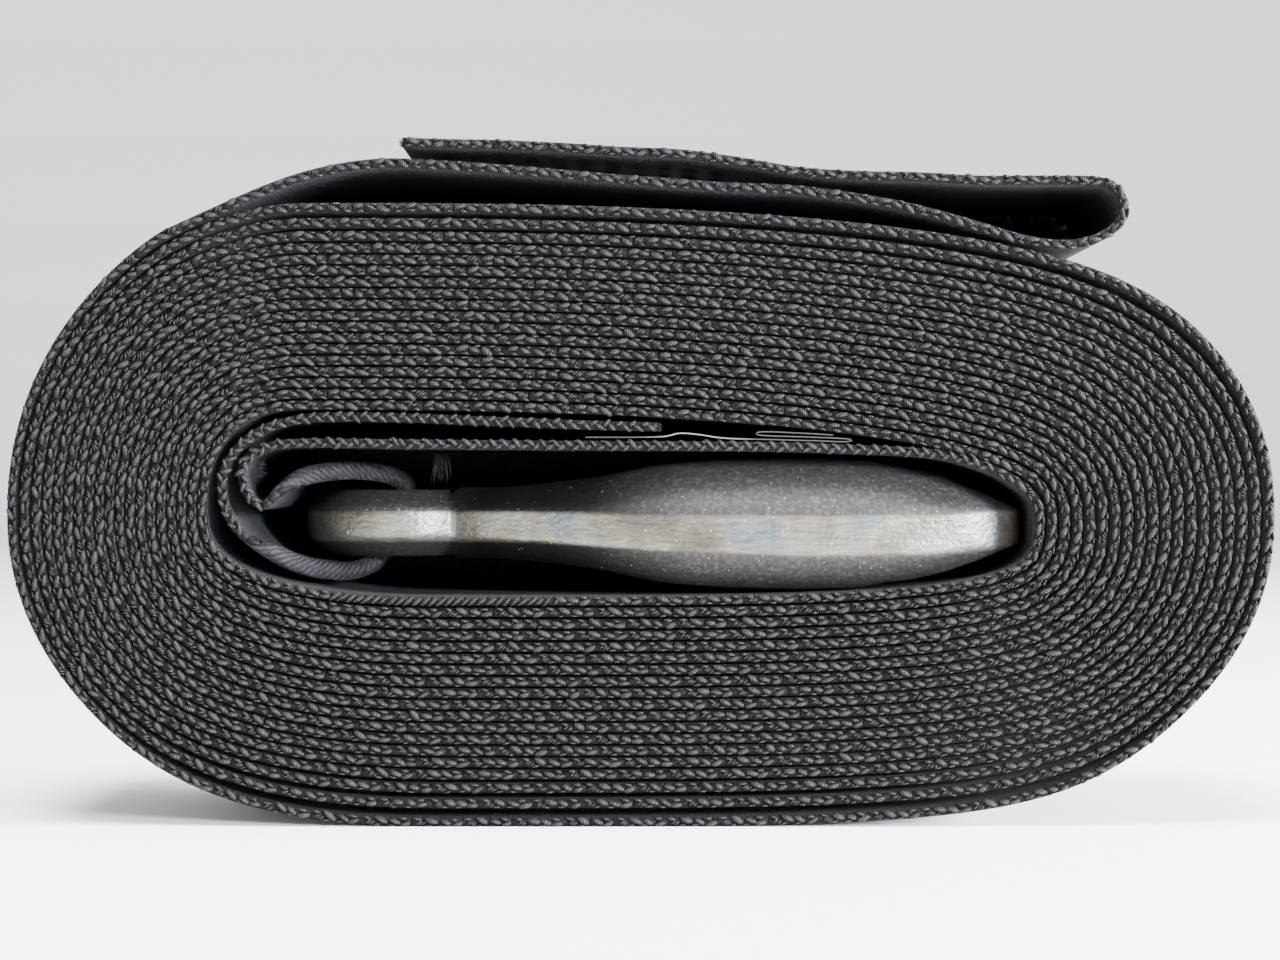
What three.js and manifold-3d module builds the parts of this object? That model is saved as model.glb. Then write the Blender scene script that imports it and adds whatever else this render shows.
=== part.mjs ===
// Webbing tie-down strap of a strap winch, wound up around its own forged eye hook.
// Millimetres, +Z up, +X to the right, Y across the webbing. The front edges face -Y.
import * as THREE from "three";
import { mergeVertices } from "three/examples/jsm/utils/BufferGeometryUtils.js";
import Module from "manifold-3d";

// Webbing
const STRAP_WIDTH = 50;
const STRAP_THICK = 1.4;
const TURNS = 19;

// Inner oval that the turns are wound on, seen from the front
const OVAL_LEFT = -65.6;
const OVAL_RIGHT = 60.4;
const OVAL_TOP = 62.6;
const OVAL_BOTTOM = 35.3;
const OVAL_MID = 47.5;
const CREST_X = -52.4;
const KEEL_X = -28.9;
const ROUND_TOP_RIGHT = 2.35;
const ROUND_BOTTOM_RIGHT = 4.2;
const ROUND_BOTTOM_LEFT = 2.42;
const ROUND_TOP_LEFT = 2.4;

// Air between two turns at eight directions, from the right counter-clockwise
const TURN_GAP = [0.53, 0.46, 0.31, 0.2, 0.17, 0.24, 0.36, 0.39];
// More air in the last turns, which are wound by hand and lie looser
const SLACK = [0.45, 2.26, 2.0, 0.3, 0.9, 0.35, 2.83, 0.6];
const SLACK_FROM = 14;

// Folded webbing where it passes through the eye of the hook
const FOLD_THICK = 2.6;
const FOLD_WIDTH = 12.4;

// Hook, lying flat in the bore with its back to the front edges
const HOOK_LEVEL = 46.1;
const HOOK_HEIGHT = 21;
const EYE_X = -39;
const EYE_OUTER = 14.6;
const EYE_HOLE = 7.6;
const EYE_HEIGHT = 11;
const HOOK_ROUND = 2.5;

// Label
const LABEL_THICK = 0.25;
const LABEL_WIDTH = 45;

// Largest distance between a drawn chord and the true curve
const CHORD_ERROR = 0.06;

const wasm = await Module();
wasm.setup();

const v2 = (x, z) => new THREE.Vector2(x, z);

// Smooth closed interpolation of eight values around the compass
function around(values, angle) {
  const k = ((angle / (2 * Math.PI)) * 8 + 8) % 8;
  const i = Math.floor(k);
  const f = k - i;
  const [a, b, c, d] = [-1, 0, 1, 2].map((n) => values[(i + n + 8) % 8]);
  const bend = (2 * a - 5 * b + 4 * c - d) * f * f;
  return 0.5 * (2 * b + (c - a) * f + bend + (3 * b - a - 3 * c + d) * f * f * f);
}

// Point of the inner oval, one full clockwise turn for f from 0 to 1, starting at the crest
function ovalPoint(f) {
  const quarter = Math.floor(f * 4) % 4;
  const q = (f * 4 - Math.floor(f * 4)) * (Math.PI / 2);
  const arc = (cx, ax, az, n, angle) =>
    v2(cx + ax * Math.sin(angle) ** (2 / n), OVAL_MID + az * Math.cos(angle) ** (2 / n));
  const up = OVAL_TOP - OVAL_MID;
  const down = OVAL_BOTTOM - OVAL_MID;
  const back = Math.PI / 2 - q;
  if (quarter === 0) return arc(CREST_X, OVAL_RIGHT - CREST_X, up, ROUND_TOP_RIGHT, q);
  if (quarter === 1) return arc(KEEL_X, OVAL_RIGHT - KEEL_X, down, ROUND_BOTTOM_RIGHT, back);
  if (quarter === 2) return arc(KEEL_X, OVAL_LEFT - KEEL_X, down, ROUND_BOTTOM_LEFT, q);
  return arc(CREST_X, OVAL_LEFT - CREST_X, up, ROUND_TOP_LEFT, back);
}

// Middle line of the wound webbing after u turns
function woundPoint(u) {
  const f = u - Math.floor(u);
  const step = 1 / 720;
  const before = ovalPoint((f - step + 1) % 1);
  const after = ovalPoint((f + step) % 1);
  const run = after.clone().sub(before).normalize();
  const out = v2(-run.y, run.x);
  const angle = Math.atan2(out.y, out.x);
  const loose = Math.min(Math.max((u - SLACK_FROM) / (TURNS - SLACK_FROM), 0), 1) ** 3;
  const off = u * (STRAP_THICK + around(TURN_GAP, angle)) + loose * around(SLACK, angle);
  return ovalPoint(f).addScaledVector(out, off);
}

// Smooth open curve through points, sampled densely
function through(points) {
  const curve = new THREE.SplineCurve(points.map(([x, z]) => v2(x, z)));
  return curve.getPoints(points.length * 24);
}

// Fewer points, kept where the curve bends
function thin(points, error) {
  const kept = [points[0]];
  let from = 0;
  const fits = (a, b) => {
    const chord = points[b].clone().sub(points[a]);
    const long = chord.length();
    if (long > 14) return false;
    for (let i = a + 1; i < b; i += 1) {
      const side = points[i].clone().sub(points[a]);
      if (Math.abs(side.cross(chord)) / long > error) return false;
    }
    return true;
  };
  for (let i = 2; i < points.length; i += 1) {
    if (!fits(from, i)) {
      kept.push(points[i - 1]);
      from = i - 1;
    }
  }
  kept.push(points[points.length - 1]);
  return kept;
}

// Both faces of a strip around its middle line; half is a number or a function of the index
function stripOutline(line, half) {
  const left = [];
  const right = [];
  line.forEach((p, i) => {
    const a = line[Math.max(i - 1, 0)];
    const b = line[Math.min(i + 1, line.length - 1)];
    const run = b.clone().sub(a).normalize();
    const side = v2(-run.y, run.x);
    const leg = (i > 0 ? p.clone().sub(a) : b.clone().sub(p)).normalize();
    const mitre = 1 / Math.max(Math.abs(run.dot(leg)), 0.8);
    const h = (typeof half === "function" ? half(i, p) : half) * mitre;
    left.push(p.clone().addScaledVector(side, h));
    right.push(p.clone().addScaledVector(side, -h));
  });
  return [...left, ...right.reverse()];
}

// Solid with an outline in X and Z, lying between two values of Y
function acrossStrap(outline, yFrom, yTo, holes = []) {
  const shape = new THREE.Shape(outline);
  holes.forEach((hole) => shape.holes.push(new THREE.Path(hole)));
  const geometry = new THREE.ExtrudeGeometry(shape, { depth: yTo - yFrom, bevelEnabled: false });
  geometry.rotateX(Math.PI / 2);
  geometry.translate(0, yTo, 0);
  return geometry;
}

// Solid with an outline in X and Y, lying between two values of Z
function upright(outline, zFrom, zTo) {
  const geometry = new THREE.ExtrudeGeometry(new THREE.Shape(outline), {
    depth: zTo - zFrom,
    bevelEnabled: false,
  });
  geometry.translate(0, 0, zFrom);
  return geometry;
}

function toSolid(geometry) {
  geometry.deleteAttribute("normal");
  geometry.deleteAttribute("uv");
  const merged = mergeVertices(geometry, 1e-4);
  const solid = new wasm.Manifold(
    new wasm.Mesh({
      numProp: 3,
      vertProperties: Float32Array.from(merged.attributes.position.array),
      triVerts: Uint32Array.from(merged.index.array),
    }),
  );
  return solid;
}

function toGeometry(solid) {
  const mesh = solid.getMesh();
  const geometry = new THREE.BufferGeometry();
  geometry.setAttribute("position", new THREE.BufferAttribute(mesh.vertProperties, 3));
  geometry.setIndex(new THREE.BufferAttribute(mesh.triVerts, 1));
  return geometry;
}

// Hook end of the strap: cut end, round the bore's left, through the eye and back
const HOOK_LOOP = [
  [2.5, 61.0], [-6.2, 61.2], [-21.4, 61.8], [-36.6, 62.4], [-47.2, 62.5], [-53.3, 61.9],
  [-58.2, 60.2], [-61.8, 57.2], [-63.7, 53.2], [-63.2, 48.4], [-60.2, 44.0], [-54.2, 39.5],
  [-48.2, 37.8], [-44.0, 38.2], [-41.2, 40.6], [-39.2, 46.0], [-37.4, 51.4], [-38.8, 54.0],
  [-43.0, 55.0], [-48.0, 55.0], [-52.6, 53.9], [-55.5, 51.2], [-57.3, 49.0], [-59.4, 50.2],
  [-60.7, 53.4],
  [-59.8, 56.2], [-56.6, 58.0], [-51.8, 58.5], [-44.2, 58.5], [-36.6, 58.4],
];
const FOLD_FROM = [-60.2, 44.0];
const FOLD_TO = [-55.5, 51.2];

// Innermost pass of the webbing, from the hook loop to where the turns begin
const FIRST_PASS = [
  [-36.6, 58.4], [-24.4, 58.3], [-12.2, 58.2], [2.5, 58.1], [16.6, 58.0], [31.8, 57.6],
  [45.5, 56.8], [53.8, 54.5],
];
const TURNS_FROM = 0.21;
const TURNS_TO = 18.93;

// Winch end: off the last turn, round the open winch loop and back over itself
const WINCH_LOOP = [
  [-57.5, 97.0], [-48.5, 99.9],
  [-39.6, 101.2], [-30.5, 100.9], [-21.4, 100.3], [-10.7, 99.4], [-0.1, 98.5],
  [12.4, 97.6], [24.7, 97.0], [37.2, 95.2], [47.0, 92.9], [58.3, 89.6], [65.1, 88.8],
  [69.8, 90.4], [73.0, 93.2], [72.6, 96.9], [69.1, 98.4], [60.7, 98.6], [51.6, 98.6],
  [42.5, 99.1], [33.4, 99.3], [24.2, 99.9], [15.1, 101.4], [6.0, 102.6], [-3.1, 103.0],
  [-12.2, 103.6], [-21.4, 104.0], [-30.5, 104.2], [-36.3, 104.4],
];

function hookLoopSolid() {
  const line = through(HOOK_LOOP);
  const nearest = ([x, z]) =>
    line.reduce((best, p, i) => {
      const d = p.distanceTo(v2(x, z));
      return d < best.d ? { d, i } : best;
    }, { d: Infinity, i: 0 }).i;
  const a = nearest(FOLD_FROM);
  const b = nearest(FOLD_TO);
  const ease = 70;
  const grow = (i) => {
    const inside = Math.min(i - a, b - i);
    const k = THREE.MathUtils.smoothstep(inside, 0, ease);
    return (STRAP_THICK + (FOLD_THICK - STRAP_THICK) * k) / 2;
  };
  const kept = thin(line, CHORD_ERROR / 2);
  const halves = kept.map((p) => grow(line.indexOf(p)));
  let solid = toSolid(
    acrossStrap(stripOutline(kept, (i) => halves[i]), -STRAP_WIDTH / 2, STRAP_WIDTH / 2),
  );
  const half = STRAP_WIDTH / 2;
  const narrow = FOLD_WIDTH / 2;
  const taper = [
    [-61, half + 0.1], [-57, 23.2], [-53, 19.2], [-49, 13.4], [-46, 9], [-44.4, 7.2],
    [-43.4, narrow], [-32, narrow],
  ];
  const keepOut = [
    [-65, 44.6], [-57.4, 44.6], [-57.4, 55.9], [-32, 55.9], [-32, 34], [-65, 34],
  ].map(([x, z]) => v2(x, z));
  const zone = toSolid(acrossStrap(keepOut, -half - 2, half + 2));
  [-1, 1].forEach((side) => {
    const rim = taper.map(([x, y]) => v2(x, side * y));
    const shape = [...rim, v2(-32, side * (half + 1)), v2(-61, side * (half + 1))];
    const ordered = THREE.ShapeUtils.isClockWise(shape) ? shape.reverse() : shape;
    solid = solid.subtract(toSolid(upright(ordered, 30, 60)).intersect(zone));
  });
  return solid;
}

function turnsSolid() {
  const dense = [];
  const perTurn = 480;
  const last = Math.round((TURNS_TO - TURNS_FROM) * perTurn);
  for (let i = 0; i <= last; i += 1) dense.push(woundPoint(TURNS_FROM + i / perTurn));
  const first = through([...FIRST_PASS, [dense[0].x, dense[0].y]]);
  const start = first.slice(0, -1);
  const end = dense[dense.length - 1];
  const loop = through([[end.x, end.y], ...WINCH_LOOP]).slice(1);
  const line = thin([...start, ...dense, ...loop], CHORD_ERROR);
  return acrossStrap(stripOutline(line, STRAP_THICK / 2), -STRAP_WIDTH / 2, STRAP_WIDTH / 2);
}

// The underside of the last turn is pressed flat by the roll's own weight
const FLOOR = 0.08;

function webbingGeometry() {
  const below = [[-90, -5], [90, -5], [90, FLOOR], [-90, FLOOR]].map(([x, z]) => v2(x, z));
  const floor = toSolid(acrossStrap(below, -STRAP_WIDTH, STRAP_WIDTH));
  return toGeometry(toSolid(turnsSolid()).add(hookLoopSolid()).subtract(floor));
}

// Points of an arc around the eye, angles in degrees
function eyeArc(radius, from, to, count) {
  return Array.from({ length: count + 1 }, (_, i) => {
    const angle = THREE.MathUtils.degToRad(from + ((to - from) * i) / count);
    return v2(EYE_X + radius * Math.cos(angle), radius * Math.sin(angle));
  });
}

// Plan of the hook, front edge at negative Y
function hookPlan() {
  const eye = eyeArc(EYE_OUTER, 48, 292, 30);
  const body = new THREE.SplineCurve([
    eye[eye.length - 1],
    v2(-27.5, -14.6), v2(-20, -16.4), v2(-10, -20.2), v2(4, -23.4), v2(18, -24.3),
    v2(32, -24.2), v2(45, -21.2), v2(54.6, -13.4), v2(59.2, -1.5), v2(58.2, 9.5), v2(52, 18),
    v2(42, 23), v2(31, 24.1), v2(20, 23.8), v2(12.6, 22.8), v2(8.6, 21.6), v2(6.3, 19.4),
    v2(5.7, 16.8), v2(7.2, 14.2), v2(10.2, 12.8), v2(15.6, 12.7), v2(22, 13.3), v2(30, 13.0), v2(37, 9.4), v2(40.4, 2.6),
    v2(38.6, -4.8), v2(32.6, -9.6), v2(24, -10.6), v2(10, -10.4), v2(-5, -8.2), v2(-16, -2.6),
    v2(-23, 4.6),
    eye[0],
  ]);
  const plan = new THREE.Shape([...eye, ...body.getPoints(110).slice(1, -1)]);
  plan.holes.push(new THREE.Path(eyeArc(EYE_HOLE, 360, 0, 28).slice(1)));
  return plan;
}

function hookGeometry() {
  const rise = 8;
  const body = new THREE.ExtrudeGeometry(hookPlan(), {
    depth: HOOK_HEIGHT - 2 * rise,
    curveSegments: 4,
    bevelEnabled: true,
    bevelThickness: rise,
    bevelSize: HOOK_ROUND,
    bevelOffset: -HOOK_ROUND,
    bevelSegments: 4,
  });
  body.translate(0, 0, -(HOOK_HEIGHT - 2 * rise) / 2);
  const eye = EYE_HEIGHT / 2;
  const below = new THREE.SplineCurve([
    v2(-25, -eye), v2(-18, -5.7), v2(-6.5, -6.8), v2(2, -8.6), v2(12, -9.6), v2(24, -9.9),
    v2(34, -9.4), v2(46, -7.2), v2(54, -4.4), v2(61, -1.6),
  ]);
  const above = new THREE.SplineCurve([
    v2(61, 1.6), v2(54, 5.0), v2(46, 8.2), v2(34, 10.1), v2(24, 10.4), v2(12, 10.1),
    v2(2, 9.2), v2(-6.5, 7.2), v2(-18, 5.8), v2(-25, eye),
  ]);
  const side = [v2(-58, -eye), ...below.getPoints(20), ...above.getPoints(20), v2(-58, eye)];
  const flank = acrossStrap(side, -30, 30);
  const solid = toSolid(body).intersect(toSolid(flank)).translate([0, 0, HOOK_LEVEL]);
  return toGeometry(solid);
}

// Thin folded label between the innermost pass and the first turn
function labelGeometry() {
  const line = through([
    [-8.4, 59.4], [-2, 59.4], [3.4, 59.5], [6, 60.0], [9, 59.8], [13, 59.25], [20, 59.05],
    [27, 58.85], [31, 58.72], [32.3, 58.95], [31, 59.2], [25, 59.45], [19, 59.65],
    [17.6, 59.95], [19, 60.25], [25, 60.0], [29.4, 59.75],
  ]);
  return acrossStrap(stripOutline(thin(line, 0.02), LABEL_THICK / 2),
    -STRAP_WIDTH / 2 + 1, -STRAP_WIDTH / 2 + 1 + LABEL_WIDTH);
}

function piece(name, geometry, colour, roughness, metalness) {
  const material = new THREE.MeshStandardMaterial({ color: colour, roughness, metalness });
  const mesh = new THREE.Mesh(geometry, material);
  mesh.name = name;
  return mesh;
}

const pieces = [
  piece("webbing", webbingGeometry(), 0x2b2b2d, 0.85, 0),
  piece("hook", hookGeometry(), 0xa6a39c, 0.42, 0.85),
  piece("label", labelGeometry(), 0x1c1c1e, 0.35, 0),
];

// The roll stands on z = 0 with its middle over the origin
const extent = new THREE.Box3().setFromObject(pieces[0]);
const shift = [-(extent.min.x + extent.max.x) / 2, 0, -extent.min.z];
const strap = new THREE.Group();
strap.name = "winch_strap";
pieces.forEach((mesh) => {
  mesh.geometry.translate(...shift);
  strap.add(mesh);
});

export default strap;
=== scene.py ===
"""Looks of a wound winch strap: woven webbing, forged eye hook and folded film label.

Lengths in the constants are millimetres in the row frame; meshes are made in metres.
"""

import logging
import math
from dataclasses import dataclass, field
from enum import Enum
from typing import Any, Callable, Iterable, Sequence

import bmesh
import bpy
import numpy as np
from mathutils import Matrix, Vector
from mathutils.kdtree import KDTree

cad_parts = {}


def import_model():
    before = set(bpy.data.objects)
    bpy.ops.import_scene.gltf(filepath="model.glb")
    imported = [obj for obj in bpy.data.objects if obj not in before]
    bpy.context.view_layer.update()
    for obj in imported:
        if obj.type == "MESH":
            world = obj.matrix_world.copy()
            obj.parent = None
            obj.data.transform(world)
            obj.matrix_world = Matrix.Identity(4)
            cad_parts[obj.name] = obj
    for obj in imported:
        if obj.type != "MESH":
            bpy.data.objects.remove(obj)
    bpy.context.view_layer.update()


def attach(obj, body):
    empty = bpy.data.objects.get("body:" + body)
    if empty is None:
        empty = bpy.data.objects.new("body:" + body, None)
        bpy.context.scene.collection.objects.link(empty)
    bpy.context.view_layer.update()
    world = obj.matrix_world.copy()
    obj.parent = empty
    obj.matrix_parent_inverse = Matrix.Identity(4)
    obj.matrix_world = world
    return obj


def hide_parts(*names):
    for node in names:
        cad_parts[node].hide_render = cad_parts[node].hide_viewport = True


LOG = logging.getLogger("winch_strap")
MM = 0.001
SHIFT = np.array([-0.035, 0.0, -0.08])
TOUCHING = 1e-6
FLOOR_GAP = 0.02
TWIST_SPREAD = 30

Points = Sequence[tuple[float, float]]


class Slot(str, Enum):
    """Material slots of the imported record."""

    WEBBING = "webbing"
    HOOK = "hook"
    LABEL = "label"


def linear(hex_colour: str) -> tuple[float, float, float, float]:
    """Turns an sRGB hex colour into linear light.

    Args:
        hex_colour: Six hex digits after a hash.

    Returns:
        Linear red, green, blue and an alpha of one.
    """
    raw = [int(hex_colour[i : i + 2], 16) / 255 for i in (1, 3, 5)]
    lit = [c / 12.92 if c <= 0.04045 else ((c + 0.055) / 1.055) ** 2.4 for c in raw]
    return (lit[0], lit[1], lit[2], 1.0)


# Route of the webbing


@dataclass(frozen=True)
class Oval:
    """Inner oval of the roll and the air between its turns, in millimetres.

    rounds are the powers of its four quarters. gap and slack have one value for
    each eighth of a turn: slack comes in over the last turns.
    """

    left: float = -65.6
    right: float = 60.4
    top: float = 62.6
    bottom: float = 35.3
    mid: float = 47.5
    crest: float = -52.4
    keel: float = -28.9
    rounds: tuple[float, ...] = (2.35, 4.2, 2.42, 2.4)
    gap: tuple[float, ...] = (0.53, 0.46, 0.31, 0.2, 0.17, 0.24, 0.36, 0.39)
    slack: tuple[float, ...] = (0.45, 2.26, 2.0, 0.3, 0.9, 0.35, 2.83, 0.6)
    slack_from: float = 14
    turns: float = 19
    thick: float = 1.4

    @staticmethod
    def around(values: Sequence[float], angle: np.ndarray) -> np.ndarray:
        """Interpolates eight compass values smoothly.

        Args:
            values: One value for each eighth of a turn, from +X towards +Z.
            angle: Direction of each point in radians.

        Returns:
            The value in each direction.
        """
        v = np.array(values)
        k = ((angle / (2 * math.pi)) * 8 + 8) % 8
        i = np.floor(k).astype(int)
        f = k - i
        a, b, c, d = (v[(i + n + 8) % 8] for n in (-1, 0, 1, 2))
        bend = (2 * a - 5 * b + 4 * c - d) * f * f
        return 0.5 * (2 * b + (c - a) * f + bend + (3 * b - a - 3 * c + d) * f**3)

    def base(self, f: np.ndarray) -> np.ndarray:
        """Points of the inner oval.

        Args:
            f: Fractions of a turn.

        Returns:
            Positions in X and Z.
        """
        f = f % 1.0
        quarter = np.floor(f * 4).astype(int) % 4
        q = (f * 4 - np.floor(f * 4)) * math.pi / 2
        angle = np.where((quarter == 0) | (quarter == 2), q, math.pi / 2 - q)
        cx = np.array([self.crest, self.keel, self.keel, self.crest])[quarter]
        ends = np.array([self.right, self.right, self.left, self.left])[quarter]
        ends_z = np.array([self.top, self.bottom, self.bottom, self.top])[quarter]
        rise = ends_z - self.mid
        n = np.array(self.rounds)[quarter]
        x = cx + (ends - cx) * np.sin(angle) ** (2 / n)
        z = self.mid + rise * np.abs(np.cos(angle)) ** (2 / n)
        return np.stack([x, z], 1)

    def wound(self, u: np.ndarray) -> np.ndarray:
        """Middle line of the webbing.

        Args:
            u: Turns from the start of the inner oval.

        Returns:
            Positions in X and Z.
        """
        step = 1 / 720
        run = self.base(u + step) - self.base(u - step)
        run /= np.linalg.norm(run, axis=1)[:, None]
        out = np.stack([-run[:, 1], run[:, 0]], 1)
        angle = np.arctan2(out[:, 1], out[:, 0])
        loose = (u - self.slack_from) / (self.turns - self.slack_from)
        off = u * (self.thick + self.around(self.gap, angle))
        off += np.clip(loose, 0, 1) ** 3 * self.around(self.slack, angle)
        return self.base(u) + out * off[:, None]


HOOK_LOOP: Points = (
    (2.5, 61.0), (-6.2, 61.2), (-21.4, 61.8), (-36.6, 62.4), (-47.2, 62.5), (-53.3, 61.9),
    (-58.2, 60.2), (-61.8, 57.2), (-63.7, 53.2), (-63.2, 48.4), (-60.2, 44.0), (-54.2, 39.5),
    (-48.2, 37.8), (-44.0, 38.2), (-41.2, 40.6), (-39.2, 46.0), (-37.4, 51.4), (-38.8, 54.0),
    (-43.0, 55.0), (-48.0, 55.0), (-52.6, 53.9), (-55.5, 51.2), (-57.3, 49.0), (-59.4, 50.2),
    (-60.7, 53.4), (-59.8, 56.2), (-56.6, 58.0), (-51.8, 58.5), (-44.2, 58.5), (-36.6, 58.4),
)
FIRST_PASS: Points = (
    (-36.6, 58.4), (-24.4, 58.3), (-12.2, 58.2), (2.5, 58.1), (16.6, 58.0), (31.8, 57.6),
    (45.5, 56.8), (53.8, 54.5),
)
# The last bend stands up to 0.8 mm further out than the solid part's
WINCH_LOOP: Points = (
    (-57.5, 97.0), (-48.5, 99.9), (-39.6, 101.2), (-30.5, 100.9), (-21.4, 100.3),
    (-10.7, 99.4), (-0.1, 98.5), (12.4, 97.6), (24.7, 97.0), (37.2, 95.2), (47.0, 92.9),
    (58.3, 89.6), (65.1, 88.8), (70.2, 90.0), (73.6, 92.9), (73.1, 96.7), (69.9, 98.4),
    (60.7, 98.6), (51.6, 98.6), (42.5, 99.1), (33.4, 99.3), (24.2, 99.9), (15.1, 101.4),
    (6.0, 102.6), (-3.1, 103.0), (-12.2, 103.6), (-21.4, 104.0), (-30.5, 104.2),
    (-36.3, 104.4),
)
TURNS_FROM = 0.21
TURNS_TO = 18.93
TURN_SAMPLES = 480
LABEL_LINE: Points = (
    (-8.4, 59.4), (-2, 59.4), (3.4, 59.5), (6, 60.0), (9, 59.8), (13, 59.25), (20, 59.05),
    (27, 58.85), (31, 58.72), (32.3, 58.95), (31, 59.2), (25, 59.45), (19, 59.65),
    (17.6, 59.95), (19, 60.25), (25, 60.0), (29.4, 59.75),
)


def smooth_line(points: Points, per: int = 24) -> np.ndarray:
    """Runs a uniform Catmull-Rom curve through points.

    Args:
        points: Positions in X and Z.
        per: Samples for each span.

    Returns:
        Sampled positions, ends included.
    """
    p = np.array(points, float)
    n = len(p)
    t = np.linspace(0, n - 1, n * per + 1)
    i = np.minimum(np.floor(t).astype(int), n - 2)
    f = (t - i)[:, None]
    a, b = p[np.maximum(i - 1, 0)], p[i]
    c, d = p[np.minimum(i + 1, n - 1)], p[np.minimum(i + 2, n - 1)]
    v0, v1 = (c - a) * 0.5, (d - b) * 0.5
    cubic = (2 * b - 2 * c + v0 + v1) * f**3 + (-3 * b + 3 * c - 2 * v0 - v1) * f**2
    return cubic + v0 * f + b


@dataclass
class Route:
    """A middle line with its length, direction and outer side at every sample."""

    line: np.ndarray
    start: float = 0.0
    length: np.ndarray = field(init=False)
    run: np.ndarray = field(init=False)
    out: np.ndarray = field(init=False)

    def __post_init__(self) -> None:
        """Measures the line, without samples that fall together."""
        steps = np.linalg.norm(np.diff(self.line, axis=0), axis=1)
        keep = np.concatenate([[True], steps > TOUCHING])
        self.line = self.line[keep]
        steps = np.linalg.norm(np.diff(self.line, axis=0), axis=1)
        self.length = self.start + np.concatenate([[0], np.cumsum(steps)])
        run = np.gradient(self.line, self.length, axis=0)
        self.run = run / np.linalg.norm(run, axis=1)[:, None]
        self.out = np.stack([-self.run[:, 1], self.run[:, 0]], 1)

    @property
    def end(self) -> float:
        """Length at the last sample."""
        return float(self.length[-1])

    def at(self, s: np.ndarray) -> tuple[np.ndarray, np.ndarray, np.ndarray]:
        """Looks up places on the line.

        Args:
            s: Running lengths.

        Returns:
            Position, direction and outer side at each length.
        """
        picks = []
        for values in (self.line, self.run, self.out):
            pair = [np.interp(s, self.length, values[:, k]) for k in (0, 1)]
            picks.append(np.stack(pair, 1))
        place, run, out = picks
        run /= np.linalg.norm(run, axis=1)[:, None]
        out /= np.linalg.norm(out, axis=1)[:, None]
        return place, run, out

    def nearest(self, point: tuple[float, float]) -> float:
        """Length at the sample closest to a point."""
        gap = np.linalg.norm(self.line - np.array(point), axis=1)
        return float(self.length[int(gap.argmin())])


def strap_routes() -> tuple[Route, Route]:
    """Runs the strap's middle line from cut end to cut end.

    Returns:
        The hook loop and the rest of the strap, in one running length.
    """
    oval = Oval()
    loop = Route(smooth_line(HOOK_LOOP))
    count = int((TURNS_TO - TURNS_FROM) * TURN_SAMPLES)
    wound = oval.wound(np.linspace(TURNS_FROM, TURNS_TO, count))
    first = smooth_line([*FIRST_PASS, tuple(wound[0])])[:-1]
    last = smooth_line([tuple(wound[-1]), *WINCH_LOOP])[1:]
    turns = Route(np.concatenate([first, wound, last]), start=loop.end)
    return loop, turns


# Mesh making


def write_layers(
    mesh: bpy.types.Mesh, uv: np.ndarray | None, tone: np.ndarray | None = None
) -> None:
    """Smooths a mesh and gives it the layers that its finish reads.

    Args:
        mesh: The mesh.
        uv: Position on the flat cloth for each vertex, in millimetres.
        tone: A value from zero to one for each vertex.
    """
    if uv is not None:
        layer = mesh.uv_layers.new(name="cloth")
        corner = np.zeros(len(mesh.loops), np.int32)
        mesh.loops.foreach_get("vertex_index", corner)
        layer.data.foreach_set("uv", uv[corner].astype(np.float32).ravel())
    if tone is not None:
        attribute = mesh.attributes.new("tone", "FLOAT", "POINT")
        attribute.data.foreach_set("value", tone.astype(np.float32))
    mesh.polygons.foreach_set("use_smooth", np.ones(len(mesh.polygons), bool))


def new_mesh(
    name: str,
    verts: np.ndarray,
    quads: np.ndarray,
    uv: np.ndarray | None = None,
    tone: np.ndarray | None = None,
) -> bpy.types.Object:
    """Makes a mesh object of quads, or of triangles, in the row frame.

    Args:
        name: Object name.
        verts: Positions in millimetres.
        quads: Vertex numbers of each face.
        uv: Position on the flat cloth for each vertex, in millimetres.
        tone: A value from zero to one for each vertex.

    Returns:
        The linked object.
    """
    mesh = bpy.data.meshes.new(name)
    mesh.from_pydata(((verts + SHIFT) * MM).tolist(), [], quads.tolist())
    write_layers(mesh, uv, tone)
    mesh.update()
    mesh.validate()
    return link(name, mesh)


def skin(rings: int, around: int) -> np.ndarray:
    """Quads between neighbouring rings of a tube, whose ends stay open.

    Args:
        rings: Number of rings.
        around: Points in each ring.

    Returns:
        Vertex numbers of each quad.
    """
    i, j = np.meshgrid(np.arange(rings - 1), np.arange(around), indexing="ij")
    a = i * around + j
    b = i * around + (j + 1) % around
    c, d = b + around, a + around
    return np.stack([a, b, c, d], -1).reshape(-1, 4)


def link(name: str, data: bpy.types.ID) -> bpy.types.Object:
    """Makes an object of a mesh, camera or lamp and links it to the scene.

    Args:
        name: Object name.
        data: What the object shows.

    Returns:
        The object.
    """
    thing = bpy.data.objects.new(name, data)
    bpy.context.scene.collection.objects.link(thing)
    return thing


def join(kept: bpy.types.Object, other: bpy.types.Object) -> None:
    """Joins a second object into the first."""
    both = [kept, other]
    with bpy.context.temp_override(active_object=kept, selected_editable_objects=both):
        bpy.ops.object.join()


def apply_modifiers(thing: bpy.types.Object) -> None:
    """Bakes an object's modifiers into its mesh.

    Args:
        thing: A mesh object.
    """
    graph = bpy.context.evaluated_depsgraph_get()
    mesh = bpy.data.meshes.new_from_object(thing.evaluated_get(graph))
    thing.modifiers.clear()
    thing.data = mesh


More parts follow.
